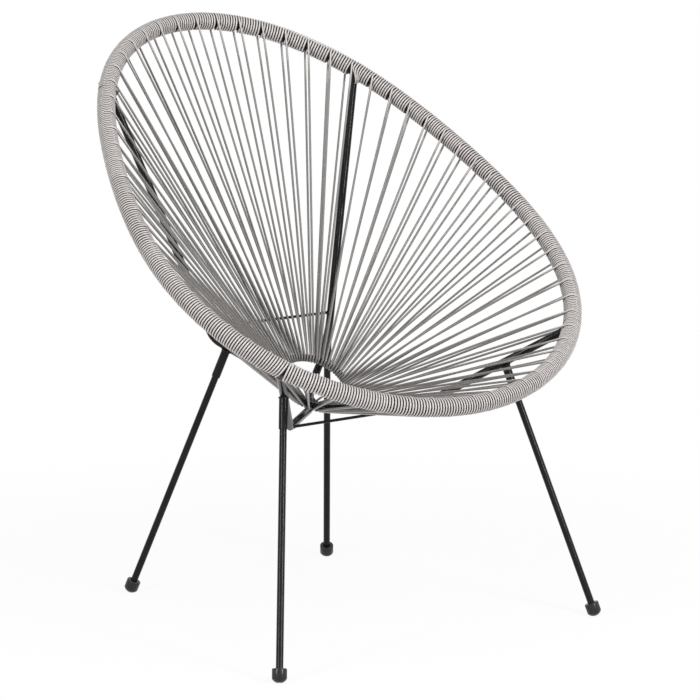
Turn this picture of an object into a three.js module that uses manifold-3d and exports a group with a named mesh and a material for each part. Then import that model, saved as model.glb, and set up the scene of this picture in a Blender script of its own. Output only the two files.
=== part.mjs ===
// Acapulco chair: a tall pear-shaped rim hoop wound with plastic cord, a bowl of cord pairs drawn
// from the rim to a small centre ring, and a welded steel frame on four plug-in legs.
// Millimetres, +Z up. The chair faces -Y, X = 0 is its mirror plane, and the feet stand on Z = 0.
import * as THREE from 'three';
import { mergeVertices } from 'three/addons/utils/BufferGeometryUtils.js';
import Module from 'manifold-3d';

const wasm = await Module();
wasm.setup();

// Driving dimensions. The rim hoop is a closed wave in width, depth and height: each list gives the
// shares of its first, second, third and fourth harmonic in that half size.
const rimHalfWidth = 354;
const rimHalfDepth = 333;
const rimHalfRise = 240;
const rimMiddleHeight = 604;
const rimWidthShares = [1, -0.014, 0.033, 0.023];
const rimDepthShares = [1, 0.045, 0.032, 0.019];
const rimRiseShares = [1, 0.040, 0.036, 0.016];
const rimTubeDiameter = 20;

// The cord: its size, how many pairs of strands leave the rim, and how many each panel holds
const cordDiameter = 3.4;
const cordPairs = 66;
const strandProud = 0.25;
const cordPanelCounts = [4, 4, 4, 4, 5, 4, 4, 4, 4, 5, 4, 4, 4, 5, 4, 3];

// A pair keeps at least this share of a bay from a side tube, and is pushed aside where it must be
const tubeRoomShare = 0.33;

// The centre ring, hung in the cords and leaning with the rim
const ringDiameter = 110;
const ringBarDiameter = 8;
const ringDepthPlace = 26.7;
const ringHeight = 343.5;
const ringLean = THREE.MathUtils.degToRad(35.5);

// The side tubes: one bent tube each side, from the back of the rim, under the ring, to its front.
// The ends are shares of the way round the rim from the top of the back, and the bends are counted
// from the ring's middle.
const sideTubeDiameter = 12;
const rearAttachShare = 0.1076;
const frontAttachShare = 0.3727;
const rearBendFromRing = new THREE.Vector3(109.5, 109.2, 62.5);
const underBendFromRing = new THREE.Vector3(58, 59.3, 21.5);
const meetingBendFromRing = new THREE.Vector3(0, 17.3, -40.5);
const frontBendFromRing = new THREE.Vector3(118.7, -99.3, -37.5);
const rearBendRadius = 36;
const underBendRadius = 80;
const meetingBendRadius = 30;
const frontBendRadius = 28;

// The tie rods: the front one joins the front bends, the rear one meets the rear run a share down it
const tieRodDiameter = 4.5;
const rearRodShare = 0.955;

// The legs, their sockets under the side tubes and the caps that they stand in
const legDiameter = 10.5;
const frontFoot = new THREE.Vector2(290.7, -283.2);
const rearFoot = new THREE.Vector2(187.5, 249);
const frontSocketShare = 0.57;
const rearSocketShare = 0.3;
const socketLength = 50;
const socketWall = 1;
const socketSetback = 5;
const legInSocket = 28;
const legChamfer = 1;
const capDiameter = 21.4;
const capHeight = 20;
const capDomeRadius = 12;
const capFlatDepth = 0.7;
const capBoreDepth = 13;
const capRimRadius = 1.2;

// Clearances: what seats on or in another piece stays this far from it
const seatGap = 0.3;
const tubePartGap = 0.8;

// How finely round forms are drawn
const hoopSides = 10;
const sideTubeSides = 10;
const ringSides = 8;
const strandSides = 4;
const roundSides = 12;
const bendSteps = 6;
const loopSteps = 4;
const rimStations = cordPairs;
const ringStations = 44;
const capDomeSteps = 5;
const meetingPasses = 6;

// Sizes that follow from those above
const rimTubeRadius = rimTubeDiameter / 2;
const sideTubeRadius = sideTubeDiameter / 2;
const cordRadius = cordDiameter / 2;
const ringBarRadius = ringBarDiameter / 2;
const legRadius = legDiameter / 2;
const sleeveBore = rimTubeRadius + seatGap;
const sleeveRadius = sleeveBore + cordDiameter;
const strandReach = sleeveBore + cordRadius + strandProud;
const loopReach = (ringBarRadius + seatGap + cordRadius) / Math.cos(Math.PI / (2 * loopSteps));

// Looks taken from the photograph
const blackCoat = { color: 0x232325, roughness: 0.42, metalness: 0.55 };
const greyCord = { color: 0xa89f9b, roughness: 0.48, metalness: 0 };
const blackRubber = { color: 0x141415, roughness: 0.72, metalness: 0 };

const up = new THREE.Vector3(0, 0, 1);
const across = new THREE.Vector3(1, 0, 0);
const chair = new THREE.Group();

function addPiece(name, geometry, look) {
  const mesh = new THREE.Mesh(geometry, new THREE.MeshStandardMaterial(look));
  mesh.name = name;
  chair.add(mesh);
  return mesh;
}

// Solids: a geometry becomes a manifold body for joining and cutting, and comes back as a geometry
function solid(geometry) {
  const bare = geometry.clone();
  bare.deleteAttribute('normal');
  bare.deleteAttribute('uv');
  const welded = mergeVertices(bare);
  const vertProperties = new Float32Array(welded.attributes.position.array);
  const triVerts = new Uint32Array(welded.index.array);
  return new wasm.Manifold(new wasm.Mesh({ numProp: 3, vertProperties, triVerts }));
}

function shape(body) {
  const mesh = body.getMesh();
  const geometry = new THREE.BufferGeometry();
  geometry.setAttribute('position', new THREE.BufferAttribute(mesh.vertProperties, 3));
  geometry.setIndex(new THREE.BufferAttribute(mesh.triVerts, 1));
  return geometry;
}

// One cross-section: points on a circle round a centre, square to the tangent, starting at the side
function section(centre, tangent, side, radius, sides) {
  const start = side.clone().addScaledVector(tangent, -side.dot(tangent)).normalize();
  const quarter = new THREE.Vector3().crossVectors(tangent, start);
  return Array.from({ length: sides }, (_, i) => {
    const angle = (2 * Math.PI * i) / sides;
    const point = centre.clone().addScaledVector(start, radius * Math.cos(angle));
    return point.addScaledVector(quarter, radius * Math.sin(angle));
  });
}

// Cross-sections skinned into one closed body: round in a loop, or with a flat cap at either end
function skin(sections, isLoop) {
  const count = sections[0].length;
  const faces = [];
  const last = isLoop ? sections.length : sections.length - 1;
  for (let i = 0; i < last; i += 1) {
    const here = i * count;
    const next = ((i + 1) % sections.length) * count;
    for (let j = 0; j < count; j += 1) {
      const k = (j + 1) % count;
      faces.push(here + j, here + k, next + k, here + j, next + k, next + j);
    }
  }
  if (!isLoop) {
    const end = (sections.length - 1) * count;
    for (let j = 1; j < count - 1; j += 1) {
      faces.push(0, j + 1, j, end, end + j, end + j + 1);
    }
  }
  const geometry = new THREE.BufferGeometry().setFromPoints(sections.flat());
  geometry.setIndex(faces);
  return geometry;
}

// A round tube along a list of points, each joint mitred, the side direction carried along
function tubeAlong(points, radius, sides, firstSide) {
  let side = firstSide.clone();
  const sections = points.map((point, i) => {
    const back = points[Math.max(i - 1, 0)];
    const ahead = points[Math.min(i + 1, points.length - 1)];
    const tangent = new THREE.Vector3();
    if (i > 0) tangent.add(point.clone().sub(back).normalize());
    if (i < points.length - 1) tangent.add(ahead.clone().sub(point).normalize());
    tangent.normalize();
    side = side.clone().addScaledVector(tangent, -side.dot(tangent)).normalize();
    return section(point, tangent, side, radius, sides);
  });
  return skin(sections, false);
}

// Straight runs between corners, each inner corner rounded by an arc of its own radius
function bentRoute(corners, radii) {
  const points = [corners[0].clone()];
  for (let i = 1; i < corners.length - 1; i += 1) {
    const back = corners[i - 1].clone().sub(corners[i]).normalize();
    const ahead = corners[i + 1].clone().sub(corners[i]).normalize();
    const half = back.angleTo(ahead) / 2;
    const radius = radii[i - 1];
    const bisector = back.clone().add(ahead).normalize();
    const centre = corners[i].clone().addScaledVector(bisector, radius / Math.sin(half));
    const start = corners[i].clone().addScaledVector(back, radius / Math.tan(half)).sub(centre);
    const axis = new THREE.Vector3().crossVectors(ahead, back).normalize();
    for (let s = 0; s <= bendSteps; s += 1) {
      const turn = ((Math.PI - 2 * half) * s) / bendSteps;
      points.push(start.clone().applyAxisAngle(axis, turn).add(centre));
    }
  }
  points.push(corners[corners.length - 1].clone());
  return points;
}

const mirrored = (point) => new THREE.Vector3(-point.x, point.y, point.z);
const between = (from, to, share) => from.clone().lerp(to, share);

// The rim: place and direction at an angle, counted from the top of the back towards +X
const sum = (shares, term) => shares.reduce((total, share, i) => total + share * term(i + 1), 0);
const evenShares = rimDepthShares.filter((_, i) => i % 2 === 1);
const rimCentring = evenShares.reduce((total, share) => total + share, 0);

function rimPoint(angle) {
  return new THREE.Vector3(
    rimHalfWidth * sum(rimWidthShares, (n) => Math.sin(n * angle)),
    rimHalfDepth * (sum(rimDepthShares, (n) => Math.cos(n * angle)) - rimCentring),
    rimMiddleHeight + rimHalfRise * sum(rimRiseShares, (n) => Math.cos(n * angle)),
  );
}

function rimTangent(angle) {
  return new THREE.Vector3(
    rimHalfWidth * sum(rimWidthShares, (n) => n * Math.cos(n * angle)),
    -rimHalfDepth * sum(rimDepthShares, (n) => n * Math.sin(n * angle)),
    -rimHalfRise * sum(rimRiseShares, (n) => n * Math.sin(n * angle)),
  ).normalize();
}

// The hoop is drawn straight from station to station, and the stations stand midway between the
// cord pairs. A bay is one station step, and every piece round the hoop takes its sections from the
// same facets, so that its gap stays even.
const bayAngle = (2 * Math.PI) / rimStations;
const halfBayShare = 1 / 2;
const stationAngle = (station) => (station - halfBayShare) * bayAngle;

function hoopSection(station, radius) {
  const angle = stationAngle(station);
  const tangent = rimTangent(angle);
  const outward = new THREE.Vector3().crossVectors(tangent, up).normalize();
  return section(rimPoint(angle), tangent, outward, radius, hoopSides);
}

function hoopSectionAt(bay, radius) {
  const station = Math.floor(bay + halfBayShare);
  const here = hoopSection(station, radius);
  const next = hoopSection(station + 1, radius);
  return here.map((point, i) => between(point, next[i], bay + halfBayShare - station));
}

function hoop(radius) {
  const stations = Array.from({ length: rimStations }, (_, i) => hoopSection(i, radius));
  return skin(stations, true);
}

addPiece('rim_hoop', hoop(rimTubeRadius), blackCoat);
const hoopClearance = solid(hoop(rimTubeRadius + seatGap));

// The centre ring: its middle, the two directions of its plane and the places round its bar
const ringMiddle = new THREE.Vector3(0, ringDepthPlace, ringHeight);
const ringBack = new THREE.Vector3(0, Math.cos(ringLean), Math.sin(ringLean));

function ringOutward(angle) {
  return across.clone().multiplyScalar(Math.sin(angle)).addScaledVector(ringBack, Math.cos(angle));
}

function ringTangent(angle) {
  return across.clone().multiplyScalar(Math.cos(angle)).addScaledVector(ringBack, -Math.sin(angle));
}

function ringPoint(angle) {
  return ringMiddle.clone().addScaledVector(ringOutward(angle), ringDiameter / 2);
}

const ringSections = Array.from({ length: ringStations }, (_, i) => {
  const angle = (2 * Math.PI * i) / ringStations;
  return section(ringPoint(angle), ringTangent(angle), ringOutward(angle), ringBarRadius, ringSides);
});
addPiece('centre_ring', skin(ringSections, true), blackCoat);

// The side tubes start and end on the hoop's axis and are coped to its surface. The bend in the
// middle is set so far over that the left and right tubes just clear each other where they meet.
const rearAttachBay = rearAttachShare * cordPairs;
const frontAttachBay = frontAttachShare * cordPairs;
const rearAttach = rimPoint(rearAttachBay * bayAngle);
const frontAttach = rimPoint(frontAttachBay * bayAngle);
const fromRing = (offset) => ringMiddle.clone().add(offset);
const rearBend = fromRing(rearBendFromRing);
const underBend = fromRing(underBendFromRing);
const meetingBend = fromRing(meetingBendFromRing);
const frontBend = fromRing(frontBendFromRing);
const bendRadii = [rearBendRadius, underBendRadius, meetingBendRadius, frontBendRadius];

function sideRoute(meetingX) {
  const meeting = new THREE.Vector3(meetingX, meetingBend.y, meetingBend.z);
  return bentRoute([rearAttach, rearBend, underBend, meeting, frontBend, frontAttach], bendRadii);
}

const meetingReach = sideTubeRadius + seatGap / 2;
let meetingX = meetingBend.x;
for (let pass = 0; pass < meetingPasses; pass += 1) {
  const nearest = Math.min(...sideRoute(meetingX).map((point) => point.x));
  meetingX += meetingReach - nearest;
}
const leftRoute = sideRoute(meetingX);
const routes = { left: leftRoute, right: leftRoute.map(mirrored) };

const tubeClearances = {};
for (const [hand, route] of Object.entries(routes)) {
  const tube = solid(tubeAlong(route, sideTubeRadius, sideTubeSides, up));
  addPiece(`side_tube_${hand}`, shape(tube.subtract(hoopClearance)), blackCoat);
  tubeClearances[hand] = solid(tubeAlong(route, sideTubeRadius + seatGap, sideTubeSides, up));
}

// The tie rods run straight across from one side tube to the other
const rodPlaces = {
  rear: between(rearAttach, rearBend, rearRodShare),
  front: frontBend,
};
for (const [end, place] of Object.entries(rodPlaces)) {
  const rod = solid(tubeAlong([mirrored(place), place], tieRodDiameter / 2, roundSides / 2, up));
  const seated = rod.subtract(tubeClearances.left).subtract(tubeClearances.right);
  addPiece(`tie_rod_${end}`, shape(seated), blackCoat);
}

// Each leg's axis runs from the middle of its cap's dome up to the axis of a side tube
function turned(profile, axisFrom, direction) {
  const lathe = new THREE.LatheGeometry(profile, roundSides);
  const turn = new THREE.Quaternion().setFromUnitVectors(new THREE.Vector3(0, 1, 0), direction);
  return lathe.applyQuaternion(turn).translate(axisFrom.x, axisFrom.y, axisFrom.z);
}

const boreRadius = legRadius + seatGap;
const socketRadius = boreRadius + socketWall;
const domeHeight = capDomeRadius - capFlatDepth;
const capRadius = capDiameter / 2;
const capFloor = solid(
  new THREE.BoxGeometry(capDiameter * 2, capDiameter * 2, capDiameter).translate(0, 0, -capDiameter / 2),
);

function socketProfile() {
  return [
    new THREE.Vector2(boreRadius, 0),
    new THREE.Vector2(socketRadius, 0),
    new THREE.Vector2(socketRadius, socketLength - socketSetback),
    new THREE.Vector2(boreRadius, socketLength - socketSetback),
    new THREE.Vector2(boreRadius, 0),
  ];
}

function legProfile(length) {
  return [
    new THREE.Vector2(0, 0),
    new THREE.Vector2(legRadius - legChamfer, 0),
    new THREE.Vector2(legRadius, legChamfer),
    new THREE.Vector2(legRadius, length - legChamfer),
    new THREE.Vector2(legRadius - legChamfer, length),
    new THREE.Vector2(0, length),
  ];
}

// The cap's profile is counted from the middle of its dome: the dome, a straight wall, a rounded
// mouth and the blind bore that takes the leg
const capTop = capHeight - domeHeight;
const capBoreFloor = capTop - capBoreDepth;

function capProfile() {
  const points = [];
  const domeEnd = Math.asin(capRadius / capDomeRadius);
  for (let s = 0; s <= capDomeSteps; s += 1) {
    const angle = (domeEnd * s) / capDomeSteps;
    points.push(new THREE.Vector2(capDomeRadius * Math.sin(angle), -capDomeRadius * Math.cos(angle)));
  }
  points.push(
    new THREE.Vector2(capRadius, capTop - capRimRadius),
    new THREE.Vector2(capRadius - capRimRadius, capTop),
    new THREE.Vector2(boreRadius, capTop),
    new THREE.Vector2(boreRadius, capBoreFloor),
    new THREE.Vector2(0, capBoreFloor),
  );
  return points;
}

const legPlaces = {
  front: { foot: frontFoot, aim: between(frontBend, frontAttach, frontSocketShare) },
  rear: { foot: rearFoot, aim: between(rearBend, underBend, rearSocketShare) },
};
for (const [end, { foot, aim }] of Object.entries(legPlaces)) {
  for (const hand of ['left', 'right']) {
    const place = (point) => (hand === 'left' ? point : mirrored(point));
    const dome = place(new THREE.Vector3(foot.x, foot.y, domeHeight));
    const top = place(aim);
    const direction = top.clone().sub(dome).normalize();
    const along = (distance) => dome.clone().addScaledVector(direction, distance);
    const reach = top.distanceTo(dome);
    const socketFoot = reach - socketLength;
    const socket = solid(turned(socketProfile(), along(socketFoot), direction));
    const legStart = capBoreFloor + seatGap;
    const leg = turned(legProfile(socketFoot + legInSocket - legStart), along(legStart), direction);
    const cap = solid(turned(capProfile(), dome, direction));
    const floor = capFloor.translate([dome.x, dome.y, 0]);
    addPiece(`socket_${end}_${hand}`, shape(socket.subtract(tubeClearances[hand])), blackCoat);
    addPiece(`leg_${end}_${hand}`, leg, blackCoat);
    addPiece(`foot_cap_${end}_${hand}`, shape(cap.subtract(floor)), blackRubber);
  }
}

// The cord. Round the rim its turns lie side by side and are drawn as a sleeve. Once in each bay
// the cord leaves the seat side of the rim, goes round the inside of the ring's bar and comes back
// under the rim, so each pair is a front and a back strand joined by a loop.
function cordPair(bay) {
  const station = Math.floor(bay + halfBayShare);
  const angle = bay * bayAngle;
  const from = rimPoint(stationAngle(station));
  const to = rimPoint(stationAngle(station + 1));
  const rimPlace = between(from, to, bay + halfBayShare - station);
  const ringPlace = ringPoint(angle);
  const ringAlong = ringTangent(angle);
  const outward = rimPlace.clone().sub(ringPlace).normalize();
  const rimUp = new THREE.Vector3().crossVectors(rimTangent(angle), outward).normalize();
  const ringUp = new THREE.Vector3().crossVectors(ringAlong, outward).normalize();
  const ringOut = new THREE.Vector3().crossVectors(ringUp, ringAlong).normalize();
  const points = [rimPlace.clone().addScaledVector(rimUp, strandReach)];
  for (let s = 0; s <= loopSteps; s += 1) {
    const turn = (Math.PI * s) / loopSteps;
    const point = ringPlace.clone().addScaledVector(ringUp, loopReach * Math.cos(turn));
    points.push(point.addScaledVector(ringOut, -loopReach * Math.sin(turn)));
  }
  points.push(rimPlace.clone().addScaledVector(rimUp, -strandReach));
  return solid(tubeAlong(points, cordRadius, strandSides, ringAlong));
}

function cordSleeve(startBay, endBay) {
  const bays = [startBay];
  const firstStation = Math.floor(startBay + halfBayShare) + 1;
  for (let bay = firstStation - halfBayShare; bay < endBay; bay += 1) bays.push(bay);
  bays.push(endBay);
  const outside = bays.map((bay) => hoopSectionAt(bay, sleeveRadius));
  const inside = bays.map((bay) => hoopSectionAt(bay, sleeveBore));
  return solid(skin([...outside, ...inside.reverse()], true));
}

// The places where a side tube comes up to the hoop, and the way it goes from there
const rearAway = rearBend.clone().sub(rearAttach).normalize();
const frontAway = frontBend.clone().sub(frontAttach).normalize();
const attaches = [
  { bay: rearAttachBay, away: rearAway },
  { bay: frontAttachBay, away: frontAway },
  { bay: cordPairs - frontAttachBay, away: mirrored(frontAway) },
  { bay: cordPairs - rearAttachBay, away: mirrored(rearAway) },
];
const attachNear = (bay, room) => attaches.find((one) => Math.abs(one.bay - bay) < room);

// A pair stands at every whole bay, or beside the side tube that would be in its way
function pairPlace(bay) {
  const attach = attachNear(bay, tubeRoomShare);
  return attach ? attach.bay + Math.sign(bay - attach.bay) * tubeRoomShare : bay;
}

// A panel ends midway between two pairs, or where a side tube comes up between them. The sleeve
// leaves the tube free, further on the side that the tube leans to, and elsewhere it leaves the gap
// between one panel and the next. The sense is 1 where a panel starts and -1 where it ends.
function panelEdge(firstPair, sense) {
  const middle = firstPair - halfBayShare;
  const attach = attachNear(middle, halfBayShare);
  const bay = attach ? attach.bay : middle;
  const place = bay * bayAngle;
  const bayLength = rimPoint(place).distanceTo(rimPoint(place + sense * bayAngle));
  if (!attach) return bay + (sense * seatGap) / 2 / bayLength;
  const lean = sense * attach.away.dot(rimTangent(place));
  const upright = Math.sqrt(1 - lean * lean);
  const shift = (lean / upright) * (lean > 0 ? sleeveRadius : sleeveBore);
  return bay + (sense * ((sideTubeRadius + tubePartGap) / upright + shift)) / bayLength;
}

let firstPair = 0;
cordPanelCounts.forEach((pairs, i) => {
  const nextPair = firstPair + pairs;
  let panel = cordSleeve(panelEdge(firstPair, 1), panelEdge(nextPair, -1));
  for (let pair = firstPair; pair < nextPair; pair += 1) panel = panel.add(cordPair(pairPlace(pair)));
  addPiece(`cord_panel_${String(i + 1).padStart(2, '0')}`, shape(panel), greyCord);
  firstPair = nextPair;
});

export default chair;
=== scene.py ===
# %% [markdown]
# # A string chair, built cell by cell
#
# The real chair is a pear-shaped steel hoop wound with plastic cord, with a bowl of cord pairs
# drawn down to a small ring, on four plug-in legs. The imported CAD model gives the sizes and
# places. This script keeps them and adds what a maker would see close up: every turn of cord,
# round bends in the tubes, weld beads, and finishes with grain and dust.

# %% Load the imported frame
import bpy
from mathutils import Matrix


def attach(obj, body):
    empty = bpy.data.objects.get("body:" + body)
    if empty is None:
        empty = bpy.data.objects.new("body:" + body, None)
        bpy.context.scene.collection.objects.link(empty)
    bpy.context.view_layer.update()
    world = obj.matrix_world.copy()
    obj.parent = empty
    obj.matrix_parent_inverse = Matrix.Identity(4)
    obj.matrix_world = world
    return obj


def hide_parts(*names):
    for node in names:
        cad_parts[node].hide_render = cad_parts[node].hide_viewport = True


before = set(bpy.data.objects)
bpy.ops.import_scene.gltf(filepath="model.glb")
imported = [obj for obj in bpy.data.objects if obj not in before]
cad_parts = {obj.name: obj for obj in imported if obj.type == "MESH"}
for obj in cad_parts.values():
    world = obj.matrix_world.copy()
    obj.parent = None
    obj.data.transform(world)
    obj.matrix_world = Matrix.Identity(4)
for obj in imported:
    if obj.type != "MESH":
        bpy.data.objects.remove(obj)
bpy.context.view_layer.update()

# %% [markdown]
# ## The camera
#
# A camera can be aimed with a Track To constraint, but a constraint hides the numbers. Here the
# view is three directions at right angles, worked out from two angles, so it can be read and
# checked. A long lens from nearly five metres keeps the hoop's outline calm, as a catalogue
# picture does.

# %% Place the camera
import math

import bpy
import numpy as np
from mathutils import Matrix, Vector

CAMERA_TURN = -0.64743
CAMERA_RISE = 0.18344
CAMERA_DISTANCE = 4.6937
CAMERA_AIM_ACROSS = 0.02427
CAMERA_AIM_UP = 0.39315
CAMERA_AIM_BACK = -0.02135
SENSOR_WIDTH = 36.0
FOCAL_PIXELS = 3098.2
PICTURE_PIXELS = 700

look_back = Vector((
    math.sin(CAMERA_TURN) * math.cos(CAMERA_RISE),
    -math.cos(CAMERA_TURN) * math.cos(CAMERA_RISE),
    math.sin(CAMERA_RISE),
))
look_right = Vector((math.cos(CAMERA_TURN), math.sin(CAMERA_TURN), 0))
look_up = look_back.cross(look_right)
camera_place = (
    look_right * CAMERA_AIM_ACROSS
    + look_up * CAMERA_AIM_UP
    + look_back * CAMERA_DISTANCE
    + Vector((0, CAMERA_AIM_BACK, 0))
)
camera_data = bpy.data.cameras.new("camera")
camera_data.sensor_width = SENSOR_WIDTH
camera_data.lens = FOCAL_PIXELS * SENSOR_WIDTH / PICTURE_PIXELS
camera = bpy.data.objects.new("camera", camera_data)
camera.matrix_world = Matrix.Translation(camera_place) @ Matrix(
    (look_right, look_up, look_back)
).transposed().to_4x4()
bpy.context.scene.collection.objects.link(camera)
bpy.context.scene.camera = camera
print("camera at", [round(v, 3) for v in camera_place], "lens", round(camera_data.lens, 1), "mm")

# %% [markdown]
# ## The lines that everything follows
#
# The hoop isn't a plain ellipse. Each of its three coordinates is a small sum of waves round the
# hoop, so one angle gives a point of it anywhere. The angle is counted in bays: a bay is the
# stretch from one cord pair to the next, and there are 66. The ring is a true circle on a leaning
# plane.

# %% The hoop and the ring as lines
CORD_PAIRS = 66
BAY = 2 * math.pi / CORD_PAIRS
RIM_HALF_WIDTH, RIM_HALF_DEPTH, RIM_HALF_RISE = 0.354, 0.333, 0.240
RIM_MIDDLE_HEIGHT = 0.604
RIM_WIDTH_SHARES = (1, -0.014, 0.033, 0.023)
RIM_DEPTH_SHARES = (1, 0.045, 0.032, 0.019)
RIM_RISE_SHARES = (1, 0.040, 0.036, 0.016)
RIM_CENTRING = RIM_DEPTH_SHARES[1] + RIM_DEPTH_SHARES[3]
RING_RADIUS = 0.055
RING_LEAN = math.radians(35.5)
RING_MIDDLE = np.array((0, 0.0267, 0.3435))
RING_BACK = np.array((0, math.cos(RING_LEAN), math.sin(RING_LEAN)))
ACROSS = np.array((1.0, 0, 0))


def unit(vectors):
    return vectors / np.linalg.norm(vectors, axis=-1, keepdims=True)


def waves(shares, term, angle):
    return sum(share * term((i + 1) * angle) for i, share in enumerate(shares))


def rim_point(bay):
    angle = np.asarray(bay, float) * BAY
    return np.stack((
        RIM_HALF_WIDTH * waves(RIM_WIDTH_SHARES, np.sin, angle),
        RIM_HALF_DEPTH * (waves(RIM_DEPTH_SHARES, np.cos, angle) - RIM_CENTRING),
        RIM_MIDDLE_HEIGHT + RIM_HALF_RISE * waves(RIM_RISE_SHARES, np.cos, angle),
    ), axis=-1)


def rim_along(bay):
    small = 0.001
    bay = np.asarray(bay, float)
    return unit(rim_point(bay + small) - rim_point(bay - small))


def ring_outward(bay):
    angle = np.asarray(bay, float)[..., None] * BAY
    return np.sin(angle) * ACROSS + np.cos(angle) * RING_BACK


def ring_along(bay):
    angle = np.asarray(bay, float)[..., None] * BAY
    return np.cos(angle) * ACROSS - np.sin(angle) * RING_BACK


def ring_point(bay):
    return RING_MIDDLE + RING_RADIUS * ring_outward(bay)


def rim_axes(bay):
    """Three directions at right angles: along the hoop, away from the ring, towards the sitter."""
    along = rim_along(bay)
    seatward = unit(np.cross(along, rim_point(bay) - ring_point(bay)))
    return along, np.cross(seatward, along), seatward


every_bay = np.arange(CORD_PAIRS)
bay_lengths = np.linalg.norm(rim_point(every_bay + 1) - rim_point(every_bay), axis=1)
print("hoop length", round(bay_lengths.sum(), 3), "m, bays", bay_lengths.min().round(4), "to",
      bay_lengths.max().round(4), "m")

# %% [markdown]
# ## Two ways to make a mesh
#
# Blender can sweep a profile with a bevelled curve or a Screw modifier. Everything here is a rod,
# a tube or a turned piece, so two small functions that write vertices directly are clearer: one
# skins rings of points along a path, and one turns a profile round an axis. Writing the rings one
# by one also lets the cord's section change as it goes, from a pressed oval on the hoop to round in
# the open.

# %% Sweep and turn
import bmesh

SHARP_ON_BARS = math.radians(50)
SHARP_ON_TURNED = math.radians(40)
SAME_POINT = 1e-6
NO_LENGTH = 1e-7

chair_pieces = []


def add_mesh(name, points, faces, sharp_angle=None):
    mesh = bpy.data.meshes.new(name)
    mesh.from_pydata(np.asarray(points).tolist(), [], faces)
    mesh.validate()
    mesh.polygons.foreach_set("use_smooth", [True] * len(mesh.polygons))
    if sharp_angle is not None:
        mesh.set_sharp_from_angle(angle=sharp_angle)
    mesh.update()
    piece = bpy.data.objects.new(name, mesh)
    bpy.context.scene.collection.objects.link(piece)
    chair_pieces.append(piece)
    return piece


def skin_faces(rings, sides, closed):
    faces = []
    for i in range(rings if closed else rings - 1):
        here, there = i * sides, (i + 1) % rings * sides
        for j in range(sides):
            k = (j + 1) % sides
            faces.append((here + j, here + k, there + k, there + j))
    if not closed:
        faces.append(tuple(reversed(range(sides))))
        faces.append(tuple(range((rings - 1) * sides, rings * sides)))
    return faces


def sweep(name, path, normals, tall, wide, sides, closed=False):
    """A solid rod along a path. tall and wide are half sizes along the normals and across them."""
    if closed:
        along = unit(np.roll(path, -1, axis=0) - np.roll(path, 1, axis=0))
    else:
        along = unit(np.gradient(path, axis=0))
    normals = unit(normals - (normals * along).sum(axis=1, keepdims=True) * along)
    sideways = np.cross(along, normals)
    turn = np.arange(sides) * 2 * math.pi / sides
    tall = np.broadcast_to(tall, len(path))[:, None, None]
    wide = np.broadcast_to(wide, len(path))[:, None, None]
    rings = (
        path[:, None]
        + tall * np.cos(turn)[:, None] * normals[:, None]
        + wide * np.sin(turn)[:, None] * sideways[:, None]
    )
    faces = skin_faces(len(path), sides, closed)
    return add_mesh(name, rings.reshape(-1, 3), faces, SHARP_ON_BARS)


def spokes_round(first, second, sides):
    """Unit spokes all round, from one side direction to another at right angles to it."""
    turn = np.arange(sides) * 2 * math.pi / sides
    return np.cos(turn)[:, None] * first + np.sin(turn)[:, None] * second


def carried_normals(path, first):
    """A side direction carried along an open path without twisting."""
    along = unit(np.gradient(path, axis=0))
    normals = [unit(first - first.dot(along[0]) * along[0])]
    for direction in along[1:]:
        normals.append(unit(normals[-1] - normals[-1].dot(direction) * direction))
    return np.array(normals)


def turned(name, profile, base, direction, sides):
    """A closed profile of (radius, height) pairs turned round an axis, with no doubled points."""
    direction = unit(np.asarray(direction))
    first = unit(np.cross(direction, ACROSS))
    spokes = spokes_round(first, np.cross(direction, first), sides)
    profile = np.array(profile)
    rings = base + profile[:, 1, None, None] * direction + profile[:, 0, None, None] * spokes
    faces = skin_faces(len(profile), sides, True)
    piece = add_mesh(name, rings.reshape(-1, 3), faces)
    weld_points(piece)
    piece.data.set_sharp_from_angle(angle=SHARP_ON_TURNED)
    return piece


def weld_points(piece):
    shell = bmesh.new()
    shell.from_mesh(piece.data)
    bmesh.ops.remove_doubles(shell, verts=shell.verts, dist=SAME_POINT)
    bmesh.ops.dissolve_degenerate(shell, edges=shell.edges, dist=NO_LENGTH)
    bmesh.ops.recalc_face_normals(shell, faces=shell.faces)
    for face in shell.faces:
        face.smooth = True
    shell.to_mesh(piece.data)
    shell.free()


print("sweep() and turned() are ready")

# %% [markdown]
# ## The hoop and the ring in steel
#
# Both are bent from tube and bar and closed with a weld. Hardly any of the hoop shows, only
# slivers between turns of cord, but those slivers are dark because there is a tube in there. A
# round section with enough sides keeps its highlight unbroken.

# %% Hoop tube and ring bar
HOOP_RADIUS = 0.010
RING_BAR_RADIUS = 0.004
HOOP_STEPS = 396
RING_STEPS = 96
ROUND_SIDES = 24

hoop_bays = np.arange(HOOP_STEPS) * CORD_PAIRS / HOOP_STEPS
hoop = sweep("hoop_tube", rim_point(hoop_bays), rim_axes(hoop_bays)[1], HOOP_RADIUS, HOOP_RADIUS,
             ROUND_SIDES, closed=True)
ring_bays = np.arange(RING_STEPS) * CORD_PAIRS / RING_STEPS
ring = sweep("ring_bar", ring_point(ring_bays), ring_outward(ring_bays), RING_BAR_RADIUS,
             RING_BAR_RADIUS, ROUND_SIDES, closed=True)
print("hoop and ring:", len(hoop.data.vertices) + len(ring.data.vertices), "points")

# %% [markdown]
# ## The side tubes and the tie rods
#
# One tube each side runs from the back of the hoop, under the bowl, and up to the front of the
# hoop. A tube bender leaves straight runs and true arcs, so the route is made of exactly those:
# corners joined by straight lines, each corner rounded by an arc. The two tubes lean on each other
# in the middle, so their shared corner is moved over until they just clear.

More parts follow.
